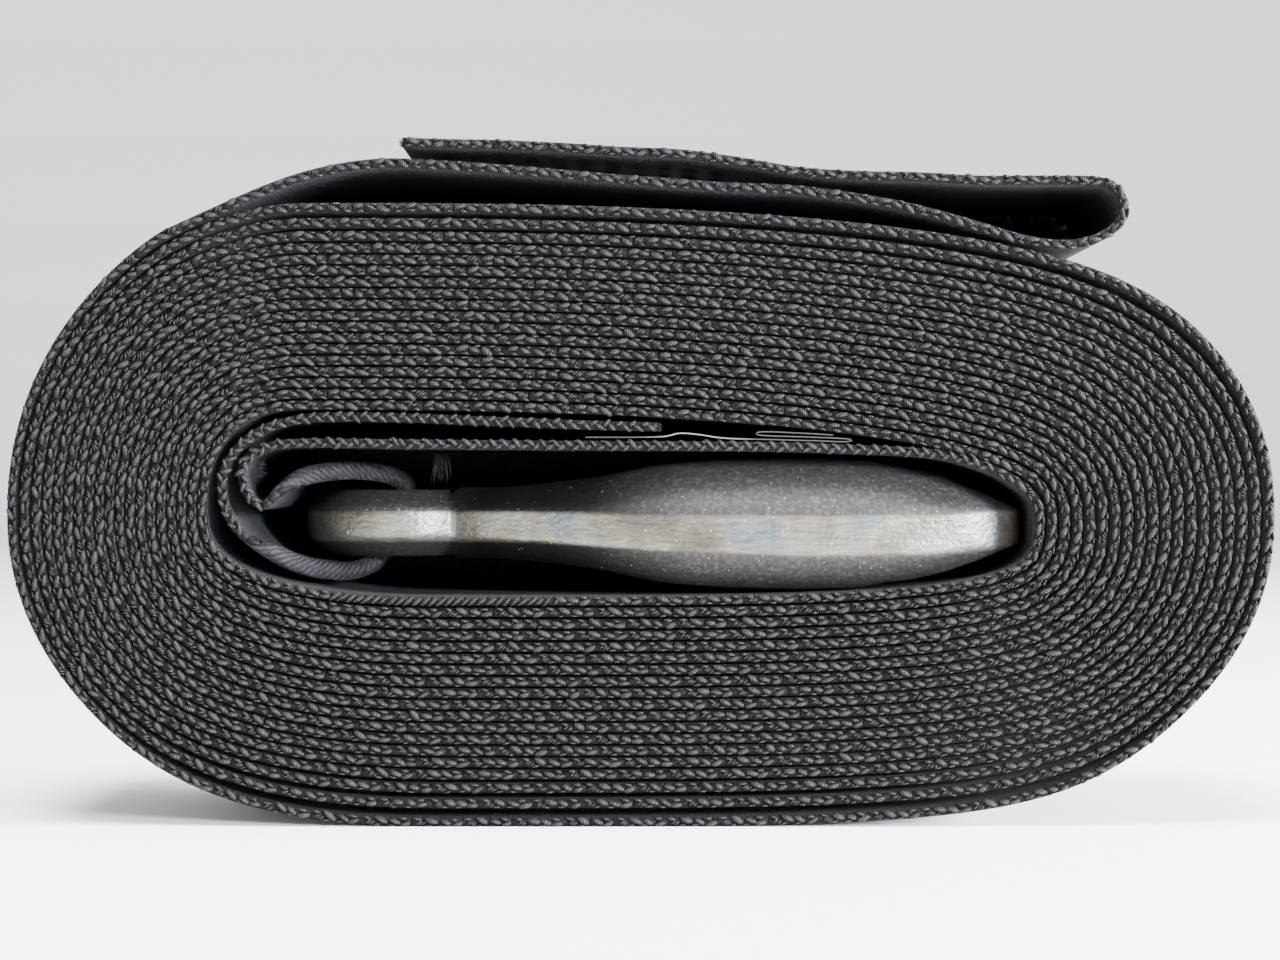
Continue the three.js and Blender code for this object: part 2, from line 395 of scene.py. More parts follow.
def outward(thing: bpy.types.Object) -> bpy.types.Object:
    """Closes open rims and turns all faces outward.

    Args:
        thing: A mesh object.

    Returns:
        The same object.
    """
    work = bmesh.new()
    work.from_mesh(thing.data)
    rims = [e for e in work.edges if e.is_boundary]
    if rims:
        bmesh.ops.holes_fill(work, edges=rims, sides=0)
    bmesh.ops.recalc_face_normals(work, faces=work.faces)
    work.to_mesh(thing.data)
    work.free()
    return thing


@dataclass(frozen=True)
class Cloth:
    """Measures of the webbing, its folds and the cells of its mesh."""

    half_width: float = 24.35
    half_thick: float = 0.68
    fold_radius: float = 0.75
    fold_half: float = 5.7
    fold_ease: float = 27.0
    fold_in: tuple[float, float] = (-61.4, 45.6)
    fold_out: tuple[float, float] = (-57.3, 49.0)
    turn_step: float = 1.9
    turn_cells: int = 4
    loop_step: float = 0.9
    loop_cells: int = 40


@dataclass(frozen=True)
class Selvedge:
    """Where the edge yarns are rooted, how far they rise, and where they change."""

    root: float = 24.3
    crest: float = 24.72
    swell: float = 0.3
    bare_end: float = 0.6
    curl_in: float = 1.0
    curl_out: float = 0.5
    chain_to: tuple[float, float] = (53.8, 54.5)
    ribs_from: tuple[float, float] = (-12.0, 34.2)
    ribs_to: tuple[float, float] = (-47.0, 35.2)


class WebbingBuilder:
    """Builds the woven strip and the looped yarns on its two edges."""

    def __init__(self, cloth: Cloth = Cloth(), selvedge: Selvedge = Selvedge()) -> None:
        """Lays out the route and finds where the hook loop is folded narrow.

        Args:
            cloth: Measures of the strip.
            selvedge: Measures of its edges.
        """
        self.cloth = cloth
        self.selvedge = selvedge
        self.loop, self.turns = strap_routes()
        self.rng = np.random.default_rng(7)
        self.fold_in = self.loop.nearest(cloth.fold_in)
        self.fold_out = self.loop.nearest(cloth.fold_out)

    @property
    def length(self) -> float:
        """Whole length of the strip in millimetres."""
        return self.turns.end

    def _turn_place(self, s: np.ndarray, t: np.ndarray) -> np.ndarray:
        """Lays flat points of the wound stretch on its route."""
        place, _, _ = self.turns.at(s)
        return np.stack([place[:, 0], t, place[:, 1]], 1)

    def _fold_width(self, s: np.ndarray) -> np.ndarray:
        """Half width of the hook loop, which is folded narrow inside the eye.

        Args:
            s: Running lengths.

        Returns:
            Half width at each length.
        """
        c = self.cloth
        flat = c.half_width + c.fold_radius
        inside = np.minimum(s - self.fold_in, self.fold_out - s)
        k = np.clip(inside / c.fold_ease, 0, 1)
        k = k * k * (3 - 2 * k) * 0.75 + k * 0.25
        return flat + (c.fold_half - flat) * k

    def _loop_place(self, s: np.ndarray, t: np.ndarray) -> np.ndarray:
        """Lays flat points of the hook loop on its route, both borders folded in.

        Args:
            s: Running lengths.
            t: Distances from the middle of the strip.

        Returns:
            Positions in the row frame.
        """
        c = self.cloth
        r = c.fold_radius
        place, _, out = self.loop.at(s)
        width = self._fold_width(s)
        past = np.maximum(np.abs(t) - (width - r), 0)
        turn = np.minimum(past / r, math.pi)
        flap = np.maximum(past - math.pi * r, 0)
        room = np.maximum(width - r - 0.5, 0.1)
        longest = np.maximum(c.half_width - (width - r) - math.pi * r, TOUCHING)
        flap = flap * np.minimum(1.0, room / longest)
        y = np.sign(t) * (np.minimum(np.abs(t), width - r) + r * np.sin(turn) - flap)
        xz = place + out * (r * (1 - np.cos(turn)))[:, None]
        return np.stack([xz[:, 0], y, xz[:, 1]], 1)

    def _bent_cloth(
        self,
        name: str,
        span: tuple[float, float],
        cells: tuple[int, int],
        lay: Callable[[np.ndarray, np.ndarray], np.ndarray],
    ) -> bpy.types.Object:
        """Cuts a flat grid of cloth, bends it and gives it its thickness.

        Args:
            name: Object name.
            span: First and last running length.
            cells: Number of faces along and across.
            lay: Takes lengths and widths of flat points to their places.

        Returns:
            The object, with the flat place of each point in its UV layer.
        """
        work = bmesh.new()
        bmesh.ops.create_grid(work, x_segments=cells[0], y_segments=cells[1], size=0.5)
        mesh = bpy.data.meshes.new(name)
        work.to_mesh(mesh)
        work.free()
        flat = np.zeros(len(mesh.vertices) * 3)
        mesh.vertices.foreach_get("co", flat)
        flat = flat.reshape(-1, 3)
        s = span[0] + (flat[:, 0] + 0.5) * (span[1] - span[0])
        t = flat[:, 1] * 2 * self.cloth.half_width
        write_layers(mesh, np.stack([s, t], 1))
        mesh.vertices.foreach_set("co", ((lay(s, t) + SHIFT) * MM).ravel())
        mesh.update()
        thing = link(name, mesh)
        solid = thing.modifiers.new("thickness", "SOLIDIFY")
        solid.thickness = 2 * self.cloth.half_thick * MM
        solid.offset = 0.0
        return thing

    def strip(self) -> bpy.types.Object:
        """Makes the whole cloth of the strap.

        Returns:
            One object with the wound turns and the hook loop.
        """
        c = self.cloth
        span = (self.turns.start, self.turns.end)
        cells = (int((span[1] - span[0]) / c.turn_step), c.turn_cells)
        turns = self._bent_cloth("webbing_cloth", span, cells, self._turn_place)
        span = (self.loop.start, self.loop.end)
        cells = (int((span[1] - span[0]) / c.loop_step), c.loop_cells)
        loop = self._bent_cloth("hook_loop_cloth", span, cells, self._loop_place)
        for thing in (turns, loop):
            apply_modifiers(thing)
        join(turns, loop)
        turns.data.materials.append(WovenCloth().material())
        return outward(turns)

    def yarn_spots(self) -> list["YarnRun"]:
        """Says where the edge yarns show.

        Returns:
            Stretches of the strap, each with its pattern.
        """
        edge = self.selvedge
        curl_in = self.fold_in + edge.curl_in
        curl_out = self.fold_out + edge.curl_out
        first = self.turns.nearest(edge.chain_to)
        ribs_from = self.turns.nearest(edge.ribs_from)
        ribs_to = self.turns.nearest(edge.ribs_to)
        return [
            YarnRun(self.loop, edge.bare_end, curl_in, CHAIN),
            YarnRun(self.loop, curl_out, self.loop.end, CHAIN),
            YarnRun(self.turns, self.turns.start, first, CHAIN),
            YarnRun(self.turns, first, ribs_from, WEAVE),
            YarnRun(self.turns, ribs_from, ribs_to, RIBS),
            YarnRun(self.turns, ribs_to, self.turns.end - edge.bare_end, WEAVE),
        ]

    def edges(self, finish: bpy.types.Material) -> list[bpy.types.Object]:
        """Makes the looped yarns along the front and the back edge.

        Args:
            finish: Material of the yarns.

        Returns:
            Two pieces for each edge.
        """
        things = []
        for side, label in ((-1, "front"), (1, "back")):
            table = np.concatenate([run.table(self.rng) for run in self.yarn_spots()])
            middle = len(table) // 2
            for part, rows in (("inner", table[:middle]), ("outer", table[middle:])):
                name = f"selvedge_{label}_{part}"
                thing = yarn_piece(name, rows, side, self.selvedge)
                thing.data.materials.append(finish)
                things.append(thing)
        return things


@dataclass(frozen=True)
class Pattern:
    """Yarn floats of one repeat.

    Each has its place along and across the edge, its length and thickness, its
    slant in degrees and its rise from zero to one.
    """

    repeat: float
    floats: tuple[tuple[float, float, float, float, float, float], ...]


WEAVE = Pattern(
    7.75,
    (
        (7.15, -0.50, 1.40, 0.52, -13, 0.5),
        (6.95, 0.0, 1.10, 0.40, 34, 0.95),
        (6.6, 0.11, 1.15, 0.42, 34, 1.0),
        (6.25, 0.23, 1.05, 0.40, 34, 0.85),
        (5.6, 0.50, 1.25, 0.44, 6, 0.4),
        (4.95, -0.22, 2.35, 0.98, -23, 1.0),
        (3.5, 0.50, 1.2, 0.44, 0, 0.4),
        (2.95, -0.05, 2.05, 0.90, -21, 0.9),
        (1.55, -0.50, 1.4, 0.52, -9, 0.5),
        (1.2, 0.26, 2.0, 0.90, 12, 0.85),
    ),
)
CHAIN = Pattern(
    3.9,
    (
        (0.3, 0.22, 1.95, 0.78, -38, 1.0),
        (1.25, -0.34, 1.60, 0.74, 30, 0.9),
        (2.25, 0.26, 1.95, 0.78, -40, 1.0),
        (3.25, -0.34, 1.70, 0.74, 34, 0.9),
        (3.6, 0.58, 1.10, 0.46, 0, 0.5),
    ),
)
RIBS = Pattern(
    1.25,
    ((0.4, 0.1, 2.1, 0.62, 40, 0.8),),
)


@dataclass
class YarnRun:
    """A stretch of edge that shows one pattern, with how far its yarns stray."""

    route: Route
    start: float
    stop: float
    pattern: Pattern
    stray: tuple[float, float] = (0.09, 0.035)
    spread: tuple[float, float] = (0.09, 0.08)
    tilt: float = 6

    def table(self, rng: np.random.Generator) -> np.ndarray:
        """Places every yarn of the stretch.

        Args:
            rng: Source of the small differences between yarns.

        Returns:
            Rows of x, z, run, out, length, thickness, slant, rise and tone.
        """
        repeats = int((self.stop - self.start) / self.pattern.repeat) + 1
        shape = np.array(self.pattern.floats)
        s = self.start + np.arange(repeats)[:, None] * self.pattern.repeat
        s = s + shape[None, :, 0]
        spec = np.broadcast_to(shape[None, :, 1:], (repeats, len(shape), 5))
        spec = spec.reshape(-1, 5)
        s = s.ravel() + rng.normal(0, self.stray[0], s.size)
        ok = (s > self.start) & (s < self.stop)
        s, spec = s[ok], spec[ok]
        n = len(s)
        place, run, out = self.route.at(s)
        across = spec[:, 0] + rng.normal(0, self.stray[1], n)
        at = place + out * across[:, None]
        length = spec[:, 1] * rng.normal(1, self.spread[0], n)
        thick = spec[:, 2] * rng.normal(1, self.spread[1], n)
        slant = np.radians(spec[:, 3] + rng.normal(0, self.tilt, n))
        tone = np.clip(rng.normal(0.5, 0.2, n), 0, 1)
        columns = [at, run, out, length[:, None], thick[:, None], slant[:, None]]
        return np.concatenate([*columns, spec[:, 4:5], tone[:, None]], 1)


def yarn_template() -> tuple[np.ndarray, np.ndarray]:
    """Makes half of a plump spindle, one unit long, lying on its flat side.

    Returns:
        Positions, and the vertex numbers of each triangle.
    """
    work = bmesh.new()
    bmesh.ops.create_uvsphere(work, u_segments=8, v_segments=4, radius=0.5)
    turned = Matrix.Rotation(math.pi / 2, 3, "Y")
    bmesh.ops.rotate(work, verts=work.verts, cent=(0, 0, 0), matrix=turned)
    bmesh.ops.bisect_plane(
        work,
        geom=[*work.verts, *work.edges, *work.faces],
        dist=10 * TOUCHING,
        plane_co=(0, 0, 0),
        plane_no=(0, 0, -1),
        clear_outer=True,
    )
    rims = [e for e in work.edges if e.is_boundary]
    bmesh.ops.holes_fill(work, edges=rims, sides=0)
    bmesh.ops.triangulate(work, faces=work.faces)
    work.verts.index_update()
    verts = np.array([v.co[:] for v in work.verts])
    tris = np.array([[v.index for v in face.verts] for face in work.faces])
    work.free()
    return verts, tris


def yarn_piece(
    name: str, rows: np.ndarray, side: int, edge: Selvedge
) -> bpy.types.Object:
    """Sets spindles on an edge of the strap, rooted in the cloth.

    Args:
        name: Object name.
        rows: One row of YarnRun.table for each spindle.
        side: Minus one for the front edge, one for the back.
        edge: Where the yarns are rooted and how far they rise.

    Returns:
        The object.
    """
    verts, tris = yarn_template()
    at, run, out = rows[:, 0:2], rows[:, 2:4], rows[:, 4:6]
    length, thick, slant, rise, tone = (rows[:, k] for k in range(6, 11))
    cos, sin = np.cos(slant), np.sin(slant)
    along = run * cos[:, None] + out * sin[:, None]
    cross = out * cos[:, None] - run * sin[:, None]
    x = verts[None, :, 0] * length[:, None]
    c = verts[None, :, 1] * thick[:, None]
    xz = at[:, None] + along[:, None] * x[..., None] + cross[:, None] * c[..., None]
    crest = edge.crest + edge.swell * rise
    y = side * (edge.root + (crest - edge.root)[:, None] * 2 * verts[None, :, 2])
    z = np.maximum(xz[..., 1], FLOOR_GAP - SHIFT[2])
    place = np.stack([xz[..., 0], y, z], -1).reshape(-1, 3)
    count = len(verts)
    faces = (tris[None] + (np.arange(len(rows)) * count)[:, None, None]).reshape(-1, 3)
    uv = np.stack([x + TWIST_SPREAD * tone[:, None], c], -1).reshape(-1, 2)
    return outward(new_mesh(name, place, faces, uv, np.repeat(tone, count)))


# Hook


@dataclass(frozen=True)
class HookShape:
    """Shape of the hook in millimetres, from its neck to its point.

    outer and inner are its two sides in plan, and high is half its height at each
    pair of them. side_ limits that height along X, land_ lowers the outer side,
    rim_ bounds the trimmed rim, which is painted brighter partly as a highlight, and
    eye_section is the upper half of the eye's section: distance from the eye's middle, and
    height.
    """

    level: float = 46.1
    eye: float = -39.0
    outer: tuple[tuple[float, float], ...] = (
        (-30.2, -10.6), (-24, -15.2), (-16, -17.9), (-7, -21.1), (4, -23.4), (16, -24.3),
        (28, -24.4), (38, -23.9), (47, -22.2), (54.8, -19.2), (59.2, -14.6), (59.5, -2),
        (55.4, 14), (48.5, 20), (39, 23.4), (28, 24.2), (18, 23.6), (11, 22.2), (6.6, 19.2),
    )
    inner: tuple[tuple[float, float], ...] = (
        (-27.0, 7.2), (-22.6, 3.4), (-15.6, -3.0), (-7, -7.6), (4, -9.6), (15.5, -10.6),
        (26, -10.7), (33, -9.3), (37.4, -6.2), (39.8, -2), (40.4, 2.4), (39.2, 6.6),
        (35.8, 10.4), (31, 12.6), (26.5, 13.4), (21, 13.3), (15.6, 12.9), (10.4, 13.2),
        (7.0, 15.6),
    )
    high: tuple[float, ...] = (
        7.6, 7.4, 7.4, 8.4, 9.8, 10.3, 10.4, 10.4, 10.2, 9.9, 9.6, 9.5, 9.4, 9.2, 8.8,
        8.2, 7.4, 6.2, 3.6,
    )
    side_x: tuple[float, ...] = (-22, -18, -6.5, 2, 12, 24, 34, 46, 54, 61)
    side_up: tuple[float, ...] = (5.6, 5.9, 7.3, 9.2, 10.1, 10.4, 10.1, 8.2, 5.0, 1.8)
    side_down: tuple[float, ...] = (5.6, 5.8, 6.9, 8.6, 9.6, 9.9, 9.4, 7.2, 4.4, 1.8)
    neck: float = -26
    rim_full: float = 0.35
    rim_fade: float = 0.75
    rim_soft: float = 0.5
    rim_x: tuple[float, ...] = (-50, -17, 3, 24, 45, 59)
    rim_up: tuple[float, ...] = (1.8, 1.8, 1.3, 1.2, 1.3, 2.1)
    rim_down: tuple[float, ...] = (-3.0, -2.7, -3.9, -4.7, -4.5, -3.5)
    land_from: float = -24
    land_ease: float = 8
    land_x: tuple[float, ...] = (-30, -12, 4, 24, 44, 60)
    land_z: tuple[float, ...] = (0.0, -0.2, -1.1, -1.5, -1.2, -0.4)
    eye_section: tuple[tuple[float, float], ...] = (
        (14.6, 1.9), (14.2, 2.7), (13.3, 3.4), (12.2, 4.1), (11.0, 4.8), (9.9, 5.3),
        (9.0, 5.2), (8.2, 4.4), (7.75, 2.9), (7.6, 1.2),
    )
    eye_steps: int = 96
    voxel: float = 0.42
    quick_voxel: float = 0.9


class HookBuilder:
    """Builds the forged hook.

    across holds places on its section from the outer side to the inner one, and
    swell the share of the full height there.
    """

    across = (0, 0.03, 0.09, 0.17, 0.27, 0.4, 0.52, 0.64, 0.75, 0.85, 0.93, 0.98, 1.0)
    swell = (0.3, 0.40, 0.52, 0.66, 0.79, 0.91, 0.97, 1, 0.99, 0.93, 0.8, 0.62, 0.36)

    def __init__(self, shape: HookShape = HookShape()) -> None:
        """Takes the shape of the forging."""
        self.shape = shape

    def _body(self) -> tuple[np.ndarray, np.ndarray]:
        """Sweeps the oval section from the neck to the point.

        Returns:
            Positions, and the vertex numbers of each quad.
        """
        sh = self.shape
        outer, inner = smooth_line(sh.outer, 6), smooth_line(sh.inner, 6)
        count = len(sh.high)
        t = np.linspace(0, count - 1, len(outer))
        high = np.interp(t, range(count), sh.high)
        w = np.array(self.across)
        f = np.array(self.swell)
        plan = outer[:, None] + (inner - outer)[:, None] * w[None, :, None]
        x = plan[..., 0]
        fade = np.clip((x - sh.land_from) / sh.land_ease, 0, 1)
        limit_up = np.interp(x, sh.side_x, sh.side_up)
        limit_down = np.interp(x, sh.side_x, sh.side_down)
        land = np.interp(x, sh.land_x, sh.land_z) * (1 - w[None]) ** 2 * fade
        up = np.minimum(f[None] * high[:, None], limit_up) + land
        down = -np.minimum(f[None] * high[:, None], limit_down) + land
        top = np.stack([x, plan[..., 1], up], -1)
        low = np.stack([x, plan[..., 1], down], -1)[:, ::-1]
        rings = np.concatenate([top, low], 1)
        return rings.reshape(-1, 3), skin(len(rings), rings.shape[1])

    def _eye(self) -> tuple[np.ndarray, np.ndarray]:
        """Turns the eye's section round.

        Returns:
            Positions, and the vertex numbers of each quad.
        """
        sh = self.shape
        half = sh.eye_section
        section = np.array([*half, *((r, -z) for r, z in reversed(half))])
        angle = np.linspace(0, 2 * math.pi, sh.eye_steps, endpoint=False)[:, None]
        x = sh.eye + section[None, :, 0] * np.cos(angle)
        y = section[None, :, 0] * np.sin(angle)
        z = np.broadcast_to(section[None, :, 1], x.shape)
        verts = np.stack([x, y, z], -1).reshape(-1, 3)
        return verts, skin(sh.eye_steps + 1, len(section)) % len(verts)

    def build(self) -> bpy.types.Object:
        """Joins eye and body, melts them together and smooths the forging.

        Returns:
            The hook, with its tone layer and its finish.
        """
        sh = self.shape
        lift = np.array([0, 0, sh.level])
        places, faces = self._body()
        body = outward(new_mesh("hook_body", places + lift, faces))
        places, faces = self._eye()
        join(body, outward(new_mesh("hook_eye", places + lift, faces)))
        body.name = "hook_forging"
        melt = body.modifiers.new("melt", "REMESH")
        melt.mode = "VOXEL"
        melt.voxel_size = sh.voxel * MM
        ease = body.modifiers.new("ease", "SMOOTH")
        ease.factor = 0.5
        ease.iterations = 5
        apply_modifiers(body)
        mesh = body.data
        mesh.polygons.foreach_set("use_smooth", np.ones(len(mesh.polygons), bool))
        self._mark_rim_painted_highlight(mesh)
        mesh.materials.append(ForgedZinc().material())
        return body

    def _mark_rim_painted_highlight(self, mesh: bpy.types.Mesh) -> None:
        """Marks the trimmed outer rim, which is smoother, and painted brighter than the
        forged flanks: partly its own finish, partly a painted highlight.

        Args:
            mesh: The hook's mesh, which gets a tone layer.
        """
        sh = self.shape
        rim = smooth_line(sh.outer, 24)
        angle = np.linspace(0, 2 * math.pi, 240)
        radius = sh.eye_section[0][0]
        ring = np.stack([sh.eye + radius * np.cos(angle), radius * np.sin(angle)], 1)
        ring = ring[ring[:, 0] < sh.neck]
        pts = np.concatenate([rim, ring]) + SHIFT[:2]
        tree = KDTree(len(pts))
        for i, (x, y) in enumerate(pts):
            tree.insert(Vector((x, y, 0)), i)
        tree.balance()
        co = np.zeros(len(mesh.vertices) * 3, np.float32)
        mesh.vertices.foreach_get("co", co)
        co = co.reshape(-1, 3) / MM
        near = np.array([tree.find(Vector((x, y, 0)))[2] for x, y, _ in co])
        tone = 1 - np.clip((near - sh.rim_full) / sh.rim_fade, 0, 1)
        rise = co[:, 2] - SHIFT[2] - sh.level
        above = np.interp(co[:, 0], sh.rim_x, sh.rim_up) - rise
        below = rise - np.interp(co[:, 0], sh.rim_x, sh.rim_down)
        tone *= np.clip(np.minimum(above, below) / sh.rim_soft + 0.5, 0, 1)
        # The tone marks where the finish paints the rim lighter, partly as a highlight.
        attribute = mesh.attributes.new("tone", "FLOAT", "POINT")
        attribute.data.foreach_set("value", tone.astype(np.float32))


# Label, stitches and loose fibres


@dataclass(frozen=True)
class LabelBuilder:
    """The folded film, with its cut front edge as a lighter material: a painted highlight.
    """

    half_thick: float = 0.09
    front: float = -24.0
    back: float = 21.0
    samples: int = 160

    def build(self) -> bpy.types.Object:
        """Folds the film along its line.

        Returns:
            The label with both finishes.
        """
        route = Route(smooth_line(LABEL_LINE, 12))
        s = np.linspace(0, route.end, self.samples)
        place, _, out = route.at(s)
        half, front, back = self.half_thick, self.front, self.back
        section = np.array([(front, half), (back, half), (back, -half), (front, -half)])
        xz = place[:, None] + out[:, None] * section[None, :, 1, None]
        y = np.broadcast_to(section[None, :, 0], xz.shape[:2])
        verts = np.stack([xz[..., 0], y, xz[..., 1]], -1).reshape(-1, 3)
        thing = outward(new_mesh("label_film", verts, skin(len(s), 4)))
        for poly in thing.data.polygons:
            poly.use_smooth = False
            poly.material_index = 1 if abs(poly.normal.y) > 0.9 else 0
        for finish in (VINYL_FACE, VINYL_CUT_HIGHLIGHT):
            thing.data.materials.append(finish.material())
        return thing


@dataclass(frozen=True)
class Stitching:
    """Rows of lock stitches that close the winch loop."""

    pitch: float = 4.2
    stitch: float = 3.4
    thick: float = 0.75
    rows: tuple[float, ...] = (-19, -9.5, 0, 9.5, 19)
    sink: float = 0.5
    proud: float = 0.78
    foot: tuple[float, float] = (12.0, 101.8)
    tail: tuple[float, float] = (-33.0, 104.3)

    def build(self, route: Route, finish: bpy.types.Material) -> bpy.types.Object:
        """Makes the thread floats, which lie on the underside of the sewn tail.

        Args:
            route: The strap's middle line.
            finish: Material of the thread.

        Returns:
            The object.
        """
        verts, tris = yarn_template()
        places, faces, tones = [], [], []
        rng = np.random.default_rng(3)
        s = np.arange(route.nearest(self.foot), route.nearest(self.tail), self.pitch)
        x = verts[:, 0] * self.stitch
        c = verts[:, 1] * self.thick
        up = verts[:, 2] * self.thick * 0.7
        up = up - self.sink * (2 * verts[:, 0]) ** 2 * self.thick
        up = (self.proud + up)[:, None]
        for row in self.rows:
            place, run, out = route.at(s + rng.normal(0, 0.1, len(s)))
            for k in range(len(s)):
                xz = place[k] + run[k] * x[:, None] + out[k] * up
                y = row + c + x * rng.normal(0, 0.03)
                faces.append(tris + len(places) * len(verts))
                places.append(np.stack([xz[:, 0], y, xz[:, 1]], -1))
                tones.append(np.full(len(verts), rng.uniform(0.3, 0.8)))
        place, face = np.concatenate(places), np.concatenate(faces)
        uv = place[:, :2].copy()
        thing = new_mesh("loop_stitches", place, face, uv, np.concatenate(tones))
        thing.data.materials.append(finish)
        return thing


@dataclass(frozen=True)
class Tuft:
    """A bunch of loose fibres."""

    at: tuple[float, float, float]
    spread: tuple[float, float, float]
    aim: tuple[float, float, float]
    length: float
    count: int


TUFTS = (
    Tuft((2.4, -22.0, 61.0), (0.1, 2.4, 0.6), (1.0, -0.1, 0.0), 0.9, 110),
    Tuft((-31.2, -14.0, 57.2), (1.1, 3.0, 0.2), (0.05, -0.1, -1.0), 4.6, 44),
    Tuft((-58.6, -23.4, 54.6), (0.3, 0.8, 1.4), (1.0, -0.1, 0.1), 1.5, 34),
    Tuft((-36.4, -22.0, 104.4), (0.1, 2.4, 0.5), (-1.0, 0.0, 0.1), 0.5, 70),
)


@dataclass(frozen=True)
class LooseFibres:
    """All loose fibres, as thin bent floats."""

    tufts: tuple[Tuft, ...] = TUFTS
    stray: float = 0.22
    thick: float = 0.07
    bend: float = 0.12

    def build(self, finish: bpy.types.Material) -> bpy.types.Object:
        """Makes every tuft.

        Args:
            finish: Material of the fibres.

        Returns:
            The object.
        """
        rng = np.random.default_rng(11)
        verts, tris = yarn_template()
        along = verts[:, 0] + 0.5
        up = (verts[:, 2] * self.thick)[:, None]
        places, faces = [], []
        for tuft in self.tufts:
            for _ in range(tuft.count):
                aim = np.array(tuft.aim) + rng.normal(0, self.stray, 3)
                aim /= np.linalg.norm(aim)
                side = np.cross(aim, rng.normal(0, 1, 3))
                side /= np.linalg.norm(side)
                length = tuft.length * rng.uniform(0.6, 1.15)
                spread = np.array(tuft.spread) * rng.uniform(-1, 1, 3)
                sway = verts[:, 1] * self.thick + self.bend * length * along**2
                place = np.array(tuft.at) + spread + aim * (along * length)[:, None]
                place = place + side * sway[:, None] + np.cross(aim, side) * up
                faces.append(tris + len(places) * len(verts))
                places.append(place)
        place, face = np.concatenate(places), np.concatenate(faces)
        thing = new_mesh("loose_fibres", place, face, place[:, :2].copy())
        thing.data.materials.append(finish)
        return thing


# Materials


class NodeTree:
    """Adds shader nodes with their settings and links in one call each."""

    def __init__(self, name: str) -> None:
        """Starts an empty material.

        Args:
            name: Material name.
        """
        self.material = bpy.data.materials.new(name)
        self.material.use_nodes = True
        self.tree = self.material.node_tree
        self.tree.nodes.clear()

    def add(
        self,
        kind: str,
        inputs: dict[str, Any] | Sequence[Any] = (),
        out: int | str = 0,
        stops: Sequence[tuple[float, str]] = (),
        **settings: Any,
    ) -> Any:
        """Adds one node with its settings and links.

        Args:
            kind: Node type without the ShaderNode prefix.
            inputs: Values or output sockets, by socket name or in socket order.
            out: Output to return.
            stops: Places and sRGB colours of a colour ramp.
            **settings: Properties of the node.

        Returns:
            The output socket, or None where the node has none.
        """
        node = self.tree.nodes.new("ShaderNode" + kind)
        for key, value in settings.items():
            setattr(node, key, value)
        pairs = inputs.items() if isinstance(inputs, dict) else enumerate(inputs)
        for key, value in pairs:
            if isinstance(value, bpy.types.NodeSocket):
                self.tree.links.new(value, node.inputs[key])
            else:
                node.inputs[key].default_value = value
        if stops:
            band = node.color_ramp
            while len(band.elements) < len(stops):
                band.elements.new(0.5)
            for element, (place, colour) in zip(band.elements, stops):
                element.position = place
                element.color = linear(colour)
        return node.outputs[out] if node.outputs else None

    def finish(self, surface: Any) -> bpy.types.Material:
        """Links the surface to the output and returns the material."""
        self.add("OutputMaterial", {"Surface": surface})
        return self.material


@dataclass(frozen=True)
class Finish:
    """A real material and how its surface was made."""

    name: str

    def surface(self, t: NodeTree) -> Any:
        """Builds the finish's nodes and returns its shader."""
        raise NotImplementedError

    def material(self) -> bpy.types.Material:
        """Makes the material, named for the finish."""
        t = NodeTree(self.name)
        return t.finish(self.surface(t))


@dataclass(frozen=True)
class Polyester(Finish):
    """Melt-spun polyester, dyed charcoal: matt, with a thin grey sheen.

    Sizes of its patterns are millimetres on the flat cloth.
    """

    tones: tuple[str, str, str]
    roughness: float
    specular: float
    relief: float
    places: tuple[float, float, float] = (0.02, 0.35, 0.95)
    fibre: tuple[float, float, float] = (1.6, 14.0, 1.0)

    def pattern(self, t: NodeTree, uv: Any) -> tuple[Any, Any]:
        """Height and shade of the yarns; each kind of surface has its own."""
        raise NotImplementedError

    @staticmethod
    def shade(t: NodeTree, tone: Any, height: Any) -> Any:
        """Mixes a broad tone with the yarns' height: painted shade, darker in the dips and
        lighter on the crests.
        """
        low = t.add("Math", [height, 0.4], operation="MULTIPLY")
        return t.add("Math", [tone, 0.5, low], operation="MULTIPLY_ADD")

    def surface(self, t: NodeTree) -> Any:
        """Lays fine drawn fibres and a faint sheen over the pattern.

        Args:
            t: Node tree of the material.

        Returns:
            The shader.
        """
        uv = t.add("UVMap", uv_map="cloth")
        height, shade = self.pattern(t, uv)
        drawn = t.add("Mapping", {"Vector": uv, "Scale": self.fibre})
        fibre = t.add("TexNoise", {"Vector": drawn, "Scale": 1.6, "Detail": 2.0})
        height = t.add("Math", [fibre, 0.25, height], operation="MULTIPLY_ADD")
        lift = {"Height": height, "Distance": self.relief * MM, "Strength": 0.9}
        return t.add(
            "BsdfPrincipled",
            {
                "Base Color": t.add(
                    "ValToRGB", [shade], stops=list(zip(self.places, self.tones))
                ),
                "Roughness": self.roughness,
                "Specular IOR Level": self.specular,
                "Sheen Weight": 0.02,
                "Sheen Roughness": 0.35,
                "Sheen Tint": linear("#c9ccd2"),
                "Normal": t.add("Bump", lift),
            },
        )


